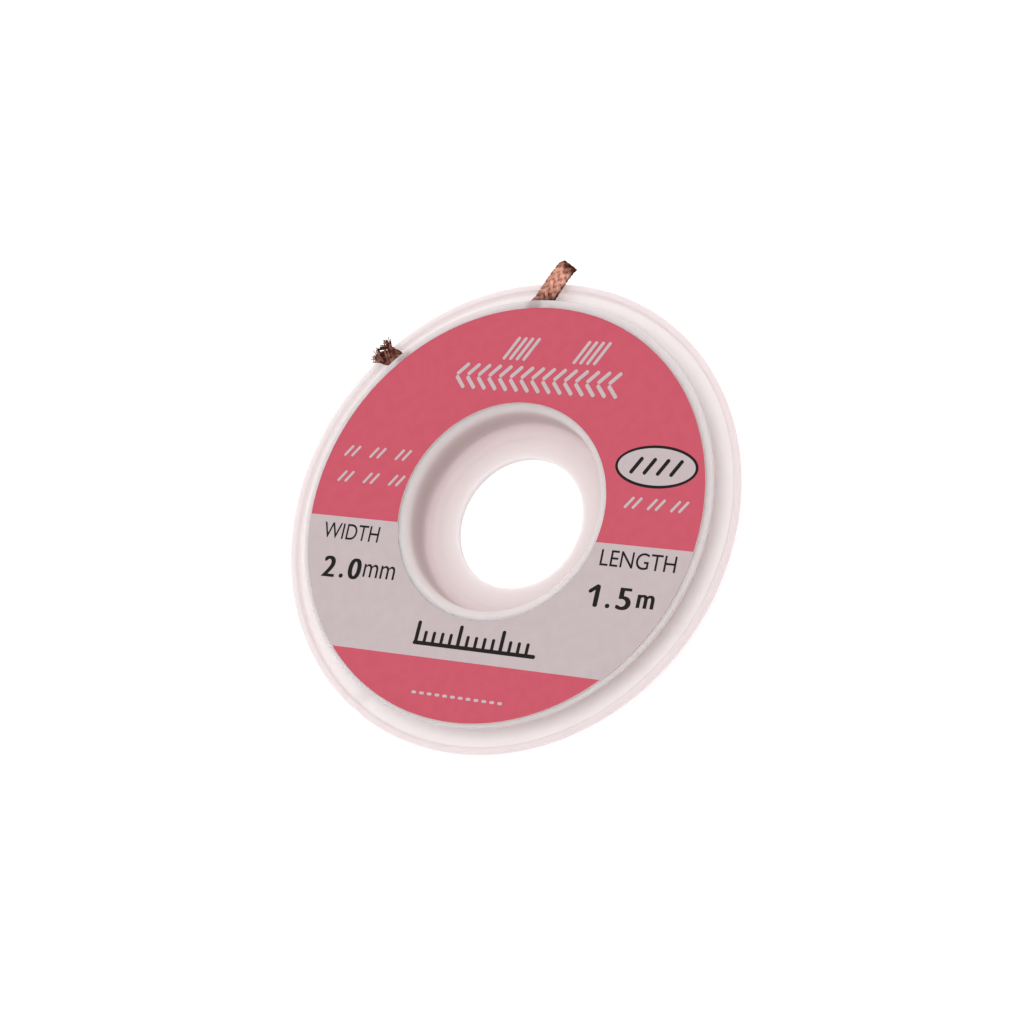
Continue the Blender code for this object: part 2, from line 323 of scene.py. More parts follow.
def moulded_polypropylene(colours, painted_shade_places):
    """Milky injection-moulded polypropylene: soft satin skin that lets some light through.

    The light that scatters inside lifts its shadows, and the mould leaves a very fine grain. Painted
    shade darkens it round the hub, along the flanges' edges and on the rim, and painted light
    brightens the dish beside the front flange. Painted shade also darkens the hub's wall, where the
    braid lies behind it, and makes a soft patch in the front flange where an end leaves.
    """
    material, shader = start_material("moulded_polypropylene")
    place = add_node(material, "ShaderNodeTexCoord").outputs["Object"]
    cloud = noise(material, place, 6 * MM, 3.0)
    grain = noise(material, place, 0.3 * MM, 2.0)
    tint = blend(material, cloud, colours.plastic, [share * 0.96 for share in colours.plastic])
    section = turned_place(material, place)
    # Radius, height and reach in millimetres, then how much of which colour. Each zone is painted
    # shade, except the dish beside the front flange, which is painted light; on the hub's wall the
    # painted shade stands for the braid seen through the plastic
    zones = (
        (9.5, 3.2, 7.5, 1.0, colours.hub_painted_shade),    # hub
        (22.9, 5.1, 2.4, 1.0, colours.edge_painted_shade),   # front flange's edge
        (26.0, 3.9, 1.4, 1.0, colours.edge_painted_shade),   # rim's top
        (26.2, 2.7, 1.5, 1.0, colours.edge_painted_shade),   # rim's outside
        (23.7, 2.5, 1.7, 0.9, colours.dish_painted_light),    # dish beside the front flange
        (26.2, 3.7, 1.1, 0.45, colours.grey),          # rim's outer corner
        (23.7, 5.3, 0.8, 0.2, colours.grey),           # front flange's outer corner
        (11.6, 3.1, 2.2, 0.38, colours.tarnish_and_shade),       # braid behind the hub's wall
    )
    shades = [(shade_through(material, section, (radius * MM, height * MM, 0), reach * MM), most, colour)
              for radius, height, reach, most, colour in zones]
    # Painted shade patches where the braid's ends leave, standing for the braid seen through the front
    # flange
    shades += [(shade_through(material, place, centre, 1.3 * MM), 0.4, colours.tarnish_and_shade)
               for centre in painted_shade_places]
    for shade, most, colour in shades:
        share = add_node(material, "ShaderNodeMath", {"operation": "MULTIPLY"}, {0: shade, 1: most})
        tint = blend(material, share.outputs["Value"], tint, colour)
    set_inputs(material, shader, {
        "Base Color": tint, "Roughness": remap(material, cloud, 0.36, 0.46),
        "Normal": bumps(material, grain, 0.02, 0.02 * MM), "IOR": 1.49, "Specular IOR Level": 0.3,
        "Subsurface Weight": 1.0, "Subsurface Radius": (1.0, 0.85, 0.85),
        "Subsurface Scale": 4.0 * MM})
    return material


def printed_paper(name, colour, shine=0.3):
    """Offset-printed label paper with a thin varnish: faint fibres and a slightly mottled ink."""
    material, shader = start_material(name)
    place = add_node(material, "ShaderNodeTexCoord").outputs["Object"]
    fibre = noise(material, place, 0.22 * MM, 3.0)
    tint = blend(material, noise(material, place, 1.3 * MM, 5.0), [share * 0.92 for share in colour],
                 [min(1.0, share * 1.06 + 0.002) for share in colour])
    set_inputs(material, shader, {
        "Base Color": tint, "Roughness": remap(material, fibre, 0.42, 0.58),
        "Normal": bumps(material, fibre, 0.15, 0.015 * MM), "Specular IOR Level": shine})
    return material


def drawn_copper_wire(colours):
    """Fine drawn copper wire: bright where it is clean, brown where it was heated, and darker
    towards a cut tip.

    Its darkness attribute, from 0 to 1, says how dark each stretch is. It also holds painted shade
    in the crevices between the wires and a painted shadow where the cut end passes under the front
    flange.
    """
    material, shader = start_material("drawn_copper_wire")
    place = add_node(material, "ShaderNodeTexCoord").outputs["Object"]
    dark = add_node(material, "ShaderNodeAttribute", {"attribute_name": "tarnish_and_shade"})
    patchy = remap(material, noise(material, place, 0.5 * MM, 3.0), -0.05, 0.38, 0.35, 0.7)
    share = add_node(material, "ShaderNodeMath", {"operation": "ADD", "use_clamp": True},
                     {0: patchy, 1: dark.outputs["Fac"]}).outputs["Value"]
    set_inputs(material, shader, {
        "Base Color": blend(material, share, colours.copper, colours.tarnish_and_shade),
        "Roughness": remap(material, share, 0.3, 0.6), "Metallic": 1.0})
    return material


def woven_copper(colours, braid):
    """The wound turns of woven copper: bundles that cross in diamonds, drawn along the UV map.

    U runs along the braid and V across it, both in metres.
    """
    material, shader = start_material("woven_copper")
    place = add_node(material, "ShaderNodeUVMap", {"uv_map": "along_braid"}).outputs["UV"]
    crossing = braid.lay / (2 * braid.bundles)
    heights = []
    for side in (-1, 1):
        turned = add_node(material, "ShaderNodeMapping", None,
                          {"Vector": place, "Rotation": (0, 0, side * radians(60)),
                           "Scale": (1 / crossing, 1 / crossing, 1)})
        wave = add_node(material, "ShaderNodeTexWave", {"wave_type": "BANDS", "wave_profile": "SIN"},
                        {"Vector": turned.outputs["Vector"], "Scale": 0.32, "Distortion": 0.3})
        heights.append(wave.outputs["Fac"])
    weave = add_node(material, "ShaderNodeMath", {"operation": "MAXIMUM"},
                     {0: heights[0], 1: heights[1]}).outputs["Value"]
    # Painted shade: dark between the crossing bundles, bright on their crowns
    set_inputs(material, shader, {
        "Base Color": blend(material, weave, colours.tarnish_and_shade, colours.copper),
        "Normal": bumps(material, weave, 0.8, 0.08 * MM), "Metallic": 1.0, "Roughness": 0.4})
    return material


def studio_floor(colours):
    """Opal acrylic light table, lit faintly from below, so that hardly a shadow falls on it."""
    material, shader = start_material("opal_acrylic_light_table")
    place = add_node(material, "ShaderNodeTexCoord").outputs["Object"]
    tint = blend(material, noise(material, place, 40 * MM, 1.0), colours.floor,
                 [share * 0.985 for share in colours.floor])
    set_inputs(material, shader, {"Base Color": tint, "Roughness": 0.9,
                                  "Emission Color": (1, 1, 1, 1), "Emission Strength": 0.25})
    return material


# Turned shapes

def corner_reach(before, corner, after, fillet):
    """How far along its two edges a corner of a section is cut back for a fillet."""
    half = (before - corner).angle(after - corner) / 2
    return fillet / tan(half)


def turn_section(name, corners, steps, segments):
    """A solid turned about Z. Corners are (radius, height, fillet) along its closed section."""
    places = [Vector((radius, 0, height)) for radius, height, fillet in corners]
    deselect_everything()
    bpy.ops.mesh.primitive_circle_add(vertices=len(corners), radius=corners[0][0])
    piece = bpy.context.object
    piece.name = name
    edit(piece)
    bpy.ops.mesh.select_mode(type="VERT")
    for index, place in enumerate(places):
        bpy.ops.mesh.select_all(action="DESELECT")
        shape = bmesh.from_edit_mesh(piece.data)
        shape.verts.ensure_lookup_table()
        shape.verts[index].select = True
        shape.select_flush_mode()
        bmesh.update_edit_mesh(piece.data)
        bpy.ops.transform.translate(value=place - shape.verts[index].co)
    for index, (radius, height, fillet) in enumerate(corners):
        if fillet:
            place = places[index]
            reach = corner_reach(places[index - 1], place, places[(index + 1) % len(places)], fillet)
            select_points(piece, lambda at: (at - place).length < 0.001 * MM)
            bpy.ops.mesh.bevel(offset=reach, offset_type="OFFSET", segments=segments,
                               affect="VERTICES", clamp_overlap=False)
    bpy.ops.mesh.select_all(action="SELECT")
    bpy.ops.mesh.spin(steps=steps, angle=2 * pi, center=(0, 0, 0), axis=(0, 0, 1),
                      use_auto_merge=True)
    mend(piece, 0.0005 * MM)
    bpy.ops.object.shade_smooth()
    return piece


def spool_section(size):
    """The spool's section, clockwise from the shoulder of the recess."""
    front_back = size.height - size.front_wall
    foot_radius = size.rear_radius - size.rim_wall
    foot_height = size.rim_height - size.rim_lip
    slope = (foot_height - size.rear_wall) / (foot_radius - size.dish_start)
    drop = size.rear_wall * sqrt(1 + slope ** 2)
    heel_height = size.rear_wall + (size.rear_radius - size.dish_start) * slope - drop
    heel_start = size.dish_start + (drop - size.rear_wall) / slope
    cove_middle = (size.recess_foot + size.floor_radius) / 2
    draft = 0.08 * MM
    small, fillet, corner, rim, cove, heel, knee = [
        value * MM for value in (0.12, 0.3, 0.25, 0.28, 0.5, 1.6, 6.0)]
    return [
        (size.recess_mouth, size.height, size.shoulder),
        (size.front_radius, size.height, corner),
        (size.front_radius, front_back, corner),
        (size.barrel_radius, front_back, fillet),
        (size.barrel_radius, size.rear_wall, fillet),
        (size.dish_start, size.rear_wall, knee),
        (foot_radius, foot_height, rim),
        (foot_radius + draft, size.rim_height, rim),
        (size.rear_radius, size.rim_height, rim),
        (size.rear_radius, heel_height, heel),
        (heel_start, 0.0, knee),
        (size.hole_radius, 0.0, small),
        (size.hole_radius, size.floor_wall, small),
        (size.floor_radius, size.floor_wall, cove),
        (cove_middle, size.floor_wall + size.cove_height / 3, cove),
        (size.recess_foot, size.floor_wall + size.cove_height, cove),
    ]


def trim_gate(spool, size, angle):
    """Flattens the front flange's edge a little, where the moulding's gate was cut off."""
    outward = Vector((cos(angle), sin(angle), 0))
    limit = size.front_radius - size.gate_trim
    low = size.height - size.front_wall - 0.05 * MM
    for point in spool.data.vertices:
        beyond = point.co.dot(outward) - limit
        on_flange = hypot(point.co.x, point.co.y) < size.front_radius + 0.1 * MM
        if beyond > 0 and point.co.z > low and on_flange:
            point.co -= outward * beyond


def raise_flash(spool, size, angle):
    """Draws up a small burr beside a nick on the rear flange's rim."""
    # The nick's angle from the burr, and how far below the rim's top the plastic gives way
    apart, depth = 0.026, 1.2 * MM
    turned = angle + apart
    burr = Vector((cos(angle), sin(angle), 0)) * (size.rear_radius - 0.35 * MM)
    nick = Vector((cos(turned), sin(turned), 0)) * (size.rear_radius - 0.1 * MM)
    for point in spool.data.vertices:
        if point.co.z > size.rim_height - depth:
            flat = Vector((point.co.x, point.co.y, 0))
            near_burr = max(0.0, 1 - (flat - burr).length / (1.2 * size.flash))
            near_nick = max(0.0, 1 - (flat - nick).length / (1.6 * size.flash))
            inward = -flat.normalized()
            point.co.z += size.flash * (0.6 * near_burr ** 0.5 - 0.45 * near_nick)
            point.co += inward * size.flash * (0.15 * near_burr + 0.1 * near_nick)


class SPOOL_OT_mould_spool(Operator):
    """Mould the plastic spool with its recess, its flat front flange and its dished rear flange"""
    bl_idname = "braid_spool.mould_spool"
    bl_label = "Mould Spool"

    def execute(self, context):
        size = context.scene.spool_sizes
        spool = turn_section("moulded_spool", spool_section(size), size.steps, segments=6)
        trim_gate(spool, size, angle=radians(25.9))
        raise_flash(spool, size, angle=radians(-146.0))
        # Where the braid's ends leave under the front flange; the plastic gets painted shade patches there
        leave_radius = 22.9 * MM
        leaves = [(leave_radius * cos(angle), leave_radius * sin(angle), size.height)
                  for angle in (radians(68.0), radians(108.5))]
        plastic = moulded_polypropylene(context.scene.finish_colours, leaves)
        finish_piece(spool, plastic, "spool_plastic", "spool")
        return {"FINISHED"}


# Label

def label_place(label, x, y, rise=0.0):
    """A point of the label, from its print's own axes, in the frame."""
    return Vector((LABEL_CENTRE.x + x * cos(label.turn) - y * sin(label.turn),
                   LABEL_CENTRE.y + x * sin(label.turn) + y * cos(label.turn),
                   SPOOL_HIGH.z + label.thickness + rise))


class SPOOL_OT_stick_label(Operator):
    """Stick the red and grey paper ring on the front flange"""
    bl_idname = "braid_spool.stick_label"
    bl_label = "Stick Label"

    def execute(self, context):
        label = context.scene.label_sizes
        colours = context.scene.finish_colours
        middle = (LABEL_CENTRE.x, LABEL_CENTRE.y, SPOOL_HIGH.z)
        deselect_everything()
        bpy.ops.mesh.primitive_circle_add(vertices=240, radius=label.outer_radius, location=middle)
        ring = bpy.context.object
        ring.name = "printed_label"
        apply_place(ring)
        edit(ring)
        bpy.ops.mesh.select_all(action="SELECT")
        rings = 8
        radius = label.outer_radius
        for step in range(rings):
            following = radius - (label.outer_radius - label.inner_radius) / rings
            ratio = following / radius
            bpy.ops.mesh.extrude_edges_move()
            bpy.ops.transform.resize(value=(ratio, ratio, 1), center_override=middle)
            radius = following
        across = Vector((-sin(label.turn), cos(label.turn), 0))
        for line in (label.upper_line, label.lower_line):
            bpy.ops.mesh.select_all(action="SELECT")
            bpy.ops.mesh.bisect(plane_co=label_place(label, 0, line), plane_no=across,
                                threshold=0.0001 * MM)
        face_outwards()
        red, grey, bare = 0, 1, 2
        for name, colour in (("red_printed_paper", colours.red), ("grey_printed_paper", colours.grey),
                             ("bare_paper", colours.paper)):
            ring.data.materials.append(printed_paper(name, colour))
        for face in ring.data.polygons:
            height = (face.center - LABEL_CENTRE).dot(across)
            face.material_index = grey if label.lower_line < height < label.upper_line else red
        upward = sum(face.normal.z for face in ring.data.polygons) > 0
        apply_modifier(ring, "SOLIDIFY", thickness=label.thickness, offset=1.0 if upward else -1.0,
                       use_rim=True)
        for face in ring.data.polygons:
            if abs(face.normal.z) < 0.5:
                face.material_index = bare
        apply_modifier(ring, "BEVEL", width=0.02 * MM, segments=2, limit_method="ANGLE",
                       angle_limit=radians(40))
        bpy.ops.object.shade_smooth_by_angle(angle=radians(35))
        finish_piece(ring, None, "label_paper", "front_label")
        return {"FINISHED"}


class SPOOL_OT_print_label(Operator):
    """Print the plain size figures and generic marks on the label"""
    bl_idname = "braid_spool.print_label"
    bl_label = "Print Label"

    def word(self, label, body, left, base, width, height, lean=0.0, rise=0.0):
        """Letters on one line, fitted to a width and a height on the label."""
        deselect_everything()
        bpy.ops.object.text_add()
        letters = bpy.context.object
        letters.data.body = body
        letters.data.shear = lean
        letters.data.resolution_u = 6
        bpy.ops.object.convert(target="MESH")
        letters = bpy.context.object
        low = [min(point.co[axis] for point in letters.data.vertices) for axis in (0, 1)]
        high = [max(point.co[axis] for point in letters.data.vertices) for axis in (0, 1)]
        scale = (width / (high[0] - low[0]), height / (high[1] - low[1]), 1)
        letters.data.transform(Matrix.Translation((-low[0], -low[1], 0)))
        letters.scale = scale
        letters.rotation_euler = (0, 0, label.turn)
        letters.location = label_place(label, left, base, rise)
        apply_place(letters)
        return letters

    def bold(self, label, body, left, base, width, height, weight):
        """Letters struck four times beside each other, each film a little above the last."""
        return [self.word(label, body, left + weight * strike, base, width - 3 * weight, height, -0.02,
                          0.5 * label.ink * strike) for strike in range(4)]

    def stroke(self, length, width):
        """One short printed stroke with rounded ends, lying along X at the origin."""
        deselect_everything()
        bpy.ops.mesh.primitive_plane_add(size=1)
        mark = bpy.context.object
        mark.scale = (length, width, 1)
        apply_place(mark)
        edit(mark)
        bpy.ops.mesh.select_all(action="SELECT")
        bpy.ops.mesh.bevel(offset=width * 0.45, offset_type="OFFSET", segments=4, affect="VERTICES")
        bpy.ops.object.mode_set(mode="OBJECT")
        return mark

    def copies(self, label, pattern, places, rise=0.0):
        """Copies of a mark, each with its own mesh, at (x, y, angle) on the label."""
        marks = []
        for x, y, angle in places:
            pick(pattern)
            bpy.ops.object.duplicate(linked=False)
            mark = bpy.context.object
            mark.rotation_euler = (0, 0, label.turn + angle)
            mark.location = label_place(label, x * MM, y * MM, rise)
            apply_place(mark)
            marks.append(mark)
        pick(pattern)
        bpy.ops.object.delete()
        return marks

    def oval(self, label, x, y, wide, high, rise):
        """A filled printed oval."""
        deselect_everything()
        bpy.ops.mesh.primitive_circle_add(vertices=96, radius=1, fill_type="NGON")
        mark = bpy.context.object
        mark.scale = (wide, high, 1)
        mark.rotation_euler = (0, 0, label.turn)
        mark.location = label_place(label, x, y, rise)
        apply_place(mark)
        return mark

    def ink(self, name, label, marks, material):
        """Joins flat marks and gives them the thickness of an ink film."""
        film = join_pieces(name, marks)
        upward = sum(face.normal.z * face.area for face in film.data.polygons) > 0
        apply_modifier(film, "SOLIDIFY", thickness=2 * label.ink, offset=0.0)
        if not upward:
            edit(film)
            face_outwards()
        finish_piece(film, material, "label_paper")

    def execute(self, context):
        label = context.scene.label_sizes
        colours = context.scene.finish_colours
        black = printed_paper("black_printing_ink", colours.black, 0.12)
        pale = printed_paper("pale_printing_ink", colours.grey)
        line, small_line, bold_line = -4.75 * MM, -8.7 * MM, -9.1 * MM
        wide, high, weight = 1.6 * MM, 2.3 * MM, 0.07 * MM
        above = 0.6 * label.ink
        figures = [
            self.word(label, "WIDTH", -20.6 * MM, line - 0.1 * MM, 7.0 * MM, 1.75 * MM, -0.04),
            self.word(label, "mm", -14.4 * MM, small_line, 3.9 * MM, 1.45 * MM, -0.04),
            self.word(label, "LENGTH", 12.7 * MM, line, 8.5 * MM, 1.75 * MM, -0.04),
            *self.bold(label, "2", -19.45 * MM, bold_line, wide, high, weight),
            *self.bold(label, "0", -16.3 * MM, bold_line, wide, high, weight),
            *self.bold(label, "5", 15.6 * MM, bold_line, wide, high, weight),
            *self.bold(label, "m", 17.8 * MM, small_line, 1.95 * MM, 1.4 * MM, 0.05 * MM),
        ]
        # Length and width of a stroke, its places, and how far it lies above the first film: the two
        # dots, the stem and the flag of the 1, and the ruler's base with its long and short ticks
        upright = radians(90)
        for length, width, places, rise in (
                (0.5, 0.46, [(-17.0, -8.85, 0.0), (14.7, -8.85, 0.0)], 0.0),
                (2.35, 0.52, [(13.3, -7.93, radians(91))], 0.0),
                (1.3, 0.4, [(12.85, -7.2, radians(38))], above),
                (14.4, 0.42, [(0.9, -15.0, 0.0)], 0.0),
                (2.5, 0.42, [(step * 5 - 6.0, -13.9, upright) for step in range(3)], above),
                (1.5, 0.36, [(step - 6.0, -14.4, upright) for step in range(14) if step % 5], above)):
            figures += self.copies(label, self.stroke(length * MM, width * MM), places, rise)
        self.ink("black_figures", label, figures, black)
        # Generic marks, each at x and y in millimetres and at an angle
        band = [(-8.6 + step * 1.3, height, side * radians(48))
                for step in range(15) for height, side in ((15.35, 1), (13.85, -1))]
        marks = self.copies(label, self.stroke(1.8 * MM, 0.42 * MM), band)
        hatches = [(centre - 1.2 + step * 0.8, 18.0, radians(62))
                   for centre in (-2.2, 6.2) for step in range(4)]
        marks += self.copies(label, self.stroke(3.0 * MM, 0.36 * MM), hatches)
        pairs = [(x + half, y, radians(55)) for half in (-0.45, 0.45) for x, y in (
            (-19.6, 5.1), (-16.4, 5.1), (-13.2, 5.1), (-19.6, 2.2), (-16.4, 2.2), (-13.2, 2.2),
            (14.9, 2.15), (17.5, 2.15), (20.1, 2.15))]
        marks += self.copies(label, self.stroke(1.5 * MM, 0.3 * MM), pairs)
        marks += self.copies(label, self.stroke(0.55 * MM, 0.3 * MM),
                             [(-4.7 + step * 0.92, -20.2, 0.0) for step in range(12)])
        self.ink("pale_marks", label, marks, pale)
        centre = (16.55 * MM, 6.15 * MM)
        self.ink("oval_edge", label, [self.oval(label, *centre, 4.65 * MM, 2.3 * MM, 0.0)], black)
        self.ink("oval_field", label,
                 [self.oval(label, *centre, 4.35 * MM, 2.0 * MM, 2 * label.ink)], pale)
        bars = [(16.55 + step * 1.5, 6.15, radians(60)) for step in (-1.5, -0.5, 0.5, 1.5)]
        self.ink("oval_bars", label, self.copies(label, self.stroke(2.1 * MM, 0.42 * MM), bars,
                                                 4 * label.ink), black)
        return {"FINISHED"}


# Copper braid

COIL_OUTER_RADIUS = -BRAID_LOW.x
COIL_INNER_RADIUS = 12.3 * MM
COIL_MIDDLE = 3.1 * MM


class SPOOL_OT_wind_braid(Operator):
    """Wind the flat braid in a spiral on the hub"""
    bl_idname = "braid_spool.wind_braid"
    bl_label = "Wind Braid"

    def execute(self, context):
        braid = context.scene.braid_sizes
        turns = round((COIL_OUTER_RADIUS - COIL_INNER_RADIUS) / braid.thickness)
        half_wall = braid.thickness * 0.46
        first = COIL_INNER_RADIUS + half_wall
        last = COIL_OUTER_RADIUS - half_wall
        steps_a_turn = 96
        count = (turns - 1) * steps_a_turn
        spiral = bpy.data.curves.new("wound_braid", "CURVE")
        spiral.dimensions = "3D"
        spiral.twist_mode = "Z_UP"
        spiral.extrude = braid.width / 2 - half_wall
        spiral.bevel_depth = half_wall
        spiral.bevel_resolution = 1
        spiral.use_fill_caps = True
        line = spiral.splines.new("POLY")
        line.points.add(count)
        start_angle = radians(88)
        for step in range(count + 1):
            angle = start_angle - 2 * pi * step / steps_a_turn
            radius = last - (last - first) * step / count
            line.points[step].co = (radius * cos(angle), radius * sin(angle), COIL_MIDDLE, 1)
        wound = mesh_of_curve(spiral, 0.0005 * MM)
        layer = wound.data.uv_layers.new(name="along_braid")
        grow = (last - first) / ((turns - 1) * 2 * pi)
        for face in wound.data.polygons:
            centre = face.center
            angle = (start_angle - atan2(centre.y, centre.x)) % (2 * pi)
            turn = round(((last - hypot(centre.x, centre.y)) / grow - angle) / (2 * pi))
            swept = angle + 2 * pi * turn
            along = swept * (last - grow * swept / 2)
            for corner in face.loop_indices:
                place = wound.data.vertices[wound.data.loops[corner].vertex_index].co
                turned = atan2(place.y, place.x) - atan2(centre.y, centre.x)
                turned = (turned + pi) % (2 * pi) - pi
                layer.data[corner].uv = (along - turned * hypot(place.x, place.y), place.z)
        bpy.ops.object.shade_smooth_by_angle(angle=radians(50))
        finish_piece(wound, woven_copper(context.scene.finish_colours, braid), "braid_copper",
                     "copper_braid")
        return {"FINISHED"}


class EndRoute:
    """Middle line of one free end, with the directions across and out of the flat braid."""

    def __init__(self, size, braid, coil_angle, side, slot_angle, heading, free_length,
                 tip_rise, tip_roll):
        clearance = 0.3 * MM
        start_radius = COIL_OUTER_RADIUS - braid.thickness
        front_back = size.height - size.front_wall
        start = self.polar(start_radius, coil_angle, COIL_MIDDLE)
        slot = self.polar(size.front_radius + clearance, slot_angle,
                          front_back - clearance - braid.thickness / 2)
        ahead = Vector((cos(heading), sin(heading), 0))
        tip = slot + ahead * free_length
        tip.z = size.rim_height + clearance + braid.thickness / 2 + tip_rise / 2
        leave = Vector((cos(coil_angle + side * pi / 2), sin(coil_angle + side * pi / 2), 0))
        first = (slot - start).length / 3
        second = (tip - slot).length / 3
        fine = 80
        inside = interpolate_bezier(start, start + leave * first, slot - ahead * first, slot, fine)
        rise = Vector((0, 0, tip_rise / 2))
        outside = interpolate_bezier(slot, slot + ahead * second + rise, tip - ahead * second, tip, fine)
        self.points = list(inside) + list(outside)[1:]
        self.lengths = [0.0]
        for here, there in zip(self.points, self.points[1:]):
            self.lengths.append(self.lengths[-1] + (there - here).length)
        self.slot_length = self.lengths[fine - 1]
        self.length = self.lengths[-1]
        self.tip_roll = tip_roll

    @staticmethod
    def polar(radius, angle, height):
        return Vector((radius * cos(angle), radius * sin(angle), height))

    def at(self, along):
        """The point, the tangent, the direction across and the direction out at a length."""
        low = min(max(bisect_right(self.lengths, along) - 1, 0), len(self.lengths) - 2)
        span = self.lengths[low + 1] - self.lengths[low]
        share = (along - self.lengths[low]) / span
        point = self.points[low].lerp(self.points[low + 1], share)
        before = self.points[max(low - 1, 0)]
        after = self.points[min(low + 2, len(self.points) - 1)]
        tangent = (after - before).normalized()
        flat = Vector((0, 0, 1)).cross(tangent).normalized()
        upright = tangent.cross(flat)
        come = min(1.0, along / self.slot_length)
        beyond = max(0.0, (along - self.slot_length) / (self.length - self.slot_length))
        roll = radians(90) * (1 - come * come * (3 - 2 * come)) + self.tip_roll * beyond
        across = flat * cos(roll) + upright * sin(roll)
        return point, tangent, across, tangent.cross(across)


def stadium(share, half_width, half_height):
    """A point of a flat loop with round ends, at a share of its way round."""
    straight = 2 * (half_width - half_height)
    bend = pi * half_height
    way = (share % 1.0) * (2 * straight + 2 * bend)
    if way < straight:
        return straight / 2 - way, half_height, 0.0, 1.0
    way -= straight
    if way < bend:
        angle = pi / 2 + way / half_height
        return -straight / 2 + half_height * cos(angle), half_height * sin(angle), cos(angle), sin(angle)
    way -= bend
    if way < straight:
        return -straight / 2 + way, -half_height, 0.0, -1.0
    angle = -pi / 2 + (way - straight) / half_height
    return straight / 2 + half_height * cos(angle), half_height * sin(angle), cos(angle), sin(angle)


def weave_end(name, route, braid, reach_of, drift_of, spread_of, darkness_of, material):
    """Woven wires along a free end. The four functions give how far each wire reaches, how it
    drifts off the weave, how much the braid is spread, and how dark it is, at a length (the last
    also at a distance from the axis)."""
    net = bpy.data.curves.new(name, "CURVE")
    net.dimensions = "3D"
    net.bevel_depth = braid.wire / 2
    net.bevel_resolution = 1
    net.use_fill_caps = True
    half_width = braid.width / 2 - braid.wire
    half_height = braid.thickness / 2 - braid.wire
    # Where the weave starts, under the flange, and the length of one step along a wire
    start, step = 1.5 * MM, 0.09 * MM
    # How much of its lane a bundle fills, how far it lifts over those it crosses, in wires, and how
    # much painted shade it gets in the depth between them
    fill, lifted, shaded = 0.92, 0.72, 0.75
    for side in (1, -1):
        for bundle in range(braid.bundles):
            for wire in range(braid.wires):
                offset = (wire - (braid.wires - 1) / 2) / braid.wires
                end = reach_of(side, bundle, wire)
                count = max(8, ceil((end - start) / step))
                line = net.splines.new("POLY")
                line.points.add(count)
                for place in range(count + 1):
                    along = start + (end - start) * place / count
                    share = (bundle + offset * fill) / braid.bundles + side * along / braid.lay
                    x, y, out_x, out_y = stadium(share, half_width, half_height)
                    # Each bundle passes over two that cross it and under the next two, one step
                    # after its neighbour does
                    row = 2 * bundle + side * 2 * braid.bundles * along / braid.lay
                    lift = side * cos(pi / 2 * (row - 0.5)) * braid.wire * lifted
                    point, tangent, across, out = route.at(min(along, route.length))
                    spot = point + across * (x * spread_of(along) + out_x * lift) + out * (y + out_y * lift)
                    spot += tangent * max(0.0, along - route.length)
                    shift = drift_of(side, bundle, wire, along)
                    spot += across * shift[0] + out * shift[1] + tangent * shift[2]
                    line.points[place].co = (*spot, 1)
    end_piece = mesh_of_curve(net, 0.00002 * MM)
    bpy.ops.object.shade_smooth()
    marks = end_piece.data.attributes.new("tarnish_and_shade", "FLOAT", "POINT")
    stations = []
    for length in route.lengths[::3]:
        point, tangent, across, out = route.at(length)
        stations.append((point, length, out))
    for index, vertex in enumerate(end_piece.data.vertices):
        point, length, out = min(stations, key=lambda station: (station[0] - vertex.co).length_squared)
        height = abs((vertex.co - point).dot(out))
        depth = max(0.0, 1 - height / (braid.thickness / 2))
        # Painted shade in the depth between the wires, on top of the end's own darkness
        marks.data[index].value = darkness_of(length, vertex.co.xy.length) + shaded * depth
    finish_piece(end_piece, material, "braid_copper", "copper_braid")


class SPOOL_OT_cut_end(Operator):
    """Weave the cut end of the braid, which comes out flat over the raised rim"""
    bl_idname = "braid_spool.cut_end"
    bl_label = "Weave Cut End"

    def execute(self, context):
        braid = context.scene.braid_sizes
        route = EndRoute(context.scene.spool_sizes, braid, coil_angle=radians(87), side=-1,
                         slot_angle=radians(67.3), heading=radians(27.5), free_length=5.0 * MM,
                         tip_rise=1.1 * MM, tip_roll=radians(16))

        def reach(side, bundle, wire):
            x = stadium(bundle / braid.bundles + side * route.length / braid.lay, braid.width / 2,
                        braid.thickness / 2)[0]
            # The cut is a little askew, and takes more off one corner
            return route.length - 0.15 * MM - 0.1 * x - max(0.0, x - 0.6 * MM)

        def drift(side, bundle, wire, along):
            return 0.0, 0.0, 0.0

        def spread(along):
            return 1.03 + 0.22 * max(0.0, 1 - max(0.0, along - route.slot_length) / (4.5 * MM))

        def darkness(along, radius):
            # Painted shadow near the slot, where the front flange shades the braid, and darker towards the
            # cut tip
            base = min(1.0, max(0.0, (24.9 * MM - radius) / (0.8 * MM)))
            tip = max(0.0, 1 - (route.length - along) / (1.3 * MM))
            return 0.55 * base + tip

        weave_end("cut_end", route, braid, reach, drift, spread, darkness,
                  drawn_copper_wire(context.scene.finish_colours))
        return {"FINISHED"}


